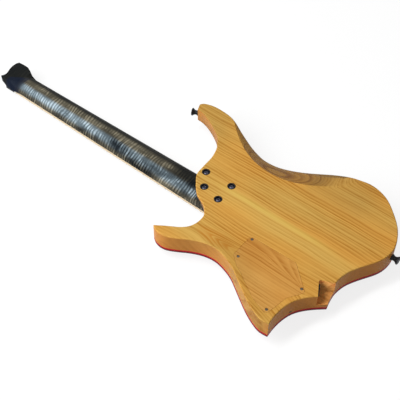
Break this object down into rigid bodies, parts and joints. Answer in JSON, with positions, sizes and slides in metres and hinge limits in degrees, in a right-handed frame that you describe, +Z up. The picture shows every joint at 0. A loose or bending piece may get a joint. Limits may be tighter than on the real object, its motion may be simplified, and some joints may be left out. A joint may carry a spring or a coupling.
{
  "type": "headless electric guitar",
  "caption": "Headless electric guitar with a bolt-on neck, horned ash body with a dark red front, belly carve, rear control cover, tail scoop for the jack, and tuners in the bridge.",
  "frame": {"origin": "middle of the bounding box, on the plane that the guitar rests on, lying on its face", "axes": "+X runs along the neck from the head to the tail, +Y points to the bass side, +Z points up, out of the guitar's back"},
  "size_m": [0.817, 0.3264, 0.0525],
  "materials": {
    "ash": "open-grained ash, clear satin lacquer",
    "cover_wood": "slightly redder ash, clear satin lacquer",
    "red_top": "dark red stain under gloss lacquer",
    "neck_wood": "charcoal-stained curly wood, satin",
    "board_wood": "pale wood, oiled",
    "nut_plastic": "off-white",
    "black_metal": "black, satin",
    "bright_steel": "plain steel",
    "grey_screw": "dark grey",
    "black_plastic": "matt black"
  },
  "bodies": {
    "guitar_body": {"body": "ash", "body_top": "red_top", "control_cover": "cover_wood", "neck": "neck_wood", "fingerboard": "board_wood", "nut": "nut_plastic", "truss_rod": "bright_steel", "head_clamp": "black_metal", "bridge_base": "black_metal", "horn_strap_button": "black_metal", "tail_strap_button": "black_metal", "neck_pickup": "black_plastic", "bridge_pickup": "black_plastic", "volume_pot": "bright_steel", "tone_pot": "bright_steel", "switch_body": "black_plastic", "output_jack": "black_metal", "string_1": "bright_steel", "string_2": "bright_steel", "string_3": "bright_steel", "string_4": "bright_steel", "string_5": "bright_steel", "string_6": "bright_steel", "cover_screw_1": "grey_screw", "neck_ferrule_1": "black_metal", "neck_bolt_1": "black_metal", "cover_screw_2": "grey_screw", "neck_ferrule_2": "black_metal", "neck_bolt_2": "black_metal", "cover_screw_3": "grey_screw", "neck_ferrule_3": "black_metal", "neck_bolt_3": "black_metal", "cover_screw_4": "grey_screw", "neck_ferrule_4": "black_metal", "neck_bolt_4": "black_metal"},
    "volume_knob": {"volume_knob": "black_metal"},
    "tone_knob": {"tone_knob": "black_metal"},
    "switch_lever": {"switch_lever": "black_metal"},
    "truss_wheel": {"truss_wheel": "bright_steel"},
    "tuner_knob_1": {"tuner_knob_1": "black_metal"},
    "tuner_knob_2": {"tuner_knob_2": "black_metal"},
    "tuner_knob_3": {"tuner_knob_3": "black_metal"},
    "tuner_knob_4": {"tuner_knob_4": "black_metal"},
    "tuner_knob_5": {"tuner_knob_5": "black_metal"},
    "tuner_knob_6": {"tuner_knob_6": "black_metal"},
    "tuner_carriage_1": {"tuner_carriage_1": "black_metal"},
    "tuner_carriage_2": {"tuner_carriage_2": "black_metal"},
    "tuner_carriage_3": {"tuner_carriage_3": "black_metal"},
    "tuner_carriage_4": {"tuner_carriage_4": "black_metal"},
    "tuner_carriage_5": {"tuner_carriage_5": "black_metal"},
    "tuner_carriage_6": {"tuner_carriage_6": "black_metal"},
    "saddle_1": {"saddle_1": "black_metal"},
    "saddle_2": {"saddle_2": "black_metal"},
    "saddle_3": {"saddle_3": "black_metal"},
    "saddle_4": {"saddle_4": "black_metal"},
    "saddle_5": {"saddle_5": "black_metal"},
    "saddle_6": {"saddle_6": "black_metal"}
  },
  "joints": [
    {"name": "volume_turn", "type": "hinge", "parent": "guitar_body", "child": "volume_knob", "pos_m": [0.25995, -0.07625, 0.002], "axis": [0, 0, -1], "range_deg": [0, 300]},
    {"name": "tone_turn", "type": "hinge", "parent": "guitar_body", "child": "tone_knob", "pos_m": [0.28795, -0.09425, 0.002], "axis": [0, 0, -1], "range_deg": [0, 300]},
    {"name": "switch_swing", "type": "hinge", "parent": "guitar_body", "child": "switch_lever", "pos_m": [0.23395, -0.08125, 0.0215], "axis": [0, 1, 0], "range_deg": [-12, 12]},
    {"name": "truss_wheel_turn", "type": "hinge", "parent": "guitar_body", "child": "truss_wheel", "pos_m": [0.12903, -0.00425, 0.0193], "axis": [1, 0, 0], "range_deg": [-360, 360]},
    {"name": "tuner_turn_1", "type": "hinge", "parent": "guitar_body", "child": "tuner_knob_1", "pos_m": [0.33825, -0.0305, 0.008], "axis": [1, 0, 0], "range_deg": [-1440, 1800]},
    {"name": "carriage_slide_1", "type": "slide", "parent": "guitar_body", "child": "tuner_carriage_1", "axis": [1, 0, 0], "range_m": [-0.003, 0.004]},
    {"name": "saddle_slide_1", "type": "slide", "parent": "guitar_body", "child": "saddle_1", "axis": [1, 0, 0], "range_m": [-0.003, 0.003]},
    {"name": "tuner_turn_2", "type": "hinge", "parent": "guitar_body", "child": "tuner_knob_2", "pos_m": [0.33825, -0.02, 0.008], "axis": [1, 0, 0], "range_deg": [-1440, 1800]},
    {"name": "carriage_slide_2", "type": "slide", "parent": "guitar_body", "child": "tuner_carriage_2", "axis": [1, 0, 0], "range_m": [-0.003, 0.004]},
    {"name": "saddle_slide_2", "type": "slide", "parent": "guitar_body", "child": "saddle_2", "axis": [1, 0, 0], "range_m": [-0.003, 0.003]},
    {"name": "tuner_turn_3", "type": "hinge", "parent": "guitar_body", "child": "tuner_knob_3", "pos_m": [0.33825, -0.0095, 0.008], "axis": [1, 0, 0], "range_deg": [-1440, 1800]},
    {"name": "carriage_slide_3", "type": "slide", "parent": "guitar_body", "child": "tuner_carriage_3", "axis": [1, 0, 0], "range_m": [-0.003, 0.004]},
    {"name": "saddle_slide_3", "type": "slide", "parent": "guitar_body", "child": "saddle_3", "axis": [1, 0, 0], "range_m": [-0.003, 0.003]},
    {"name": "tuner_turn_4", "type": "hinge", "parent": "guitar_body", "child": "tuner_knob_4", "pos_m": [0.33825, 0.001, 0.008], "axis": [1, 0, 0], "range_deg": [-1440, 1800]},
    {"name": "carriage_slide_4", "type": "slide", "parent": "guitar_body", "child": "tuner_carriage_4", "axis": [1, 0, 0], "range_m": [-0.003, 0.004]},
    {"name": "saddle_slide_4", "type": "slide", "parent": "guitar_body", "child": "saddle_4", "axis": [1, 0, 0], "range_m": [-0.003, 0.003]},
    {"name": "tuner_turn_5", "type": "hinge", "parent": "guitar_body", "child": "tuner_knob_5", "pos_m": [0.33825, 0.0115, 0.008], "axis": [1, 0, 0], "range_deg": [-1440, 1800]},
    {"name": "carriage_slide_5", "type": "slide", "parent": "guitar_body", "child": "tuner_carriage_5", "axis": [1, 0, 0], "range_m": [-0.003, 0.004]},
    {"name": "saddle_slide_5", "type": "slide", "parent": "guitar_body", "child": "saddle_5", "axis": [1, 0, 0], "range_m": [-0.003, 0.003]},
    {"name": "tuner_turn_6", "type": "hinge", "parent": "guitar_body", "child": "tuner_knob_6", "pos_m": [0.33825, 0.022, 0.008], "axis": [1, 0, 0], "range_deg": [-1440, 1800]},
    {"name": "carriage_slide_6", "type": "slide", "parent": "guitar_body", "child": "tuner_carriage_6", "axis": [1, 0, 0], "range_m": [-0.003, 0.004]},
    {"name": "saddle_slide_6", "type": "slide", "parent": "guitar_body", "child": "saddle_6", "axis": [1, 0, 0], "range_m": [-0.003, 0.003]}
  ],
  "couplings": [
    {"joint": "carriage_slide_1", "follows": "tuner_turn_1", "m_per_rad": 0.00011141},
    {"joint": "carriage_slide_2", "follows": "tuner_turn_2", "m_per_rad": 0.00011141},
    {"joint": "carriage_slide_3", "follows": "tuner_turn_3", "m_per_rad": 0.00011141},
    {"joint": "carriage_slide_4", "follows": "tuner_turn_4", "m_per_rad": 0.00011141},
    {"joint": "carriage_slide_5", "follows": "tuner_turn_5", "m_per_rad": 0.00011141},
    {"joint": "carriage_slide_6", "follows": "tuner_turn_6", "m_per_rad": 0.00011141}
  ]
}
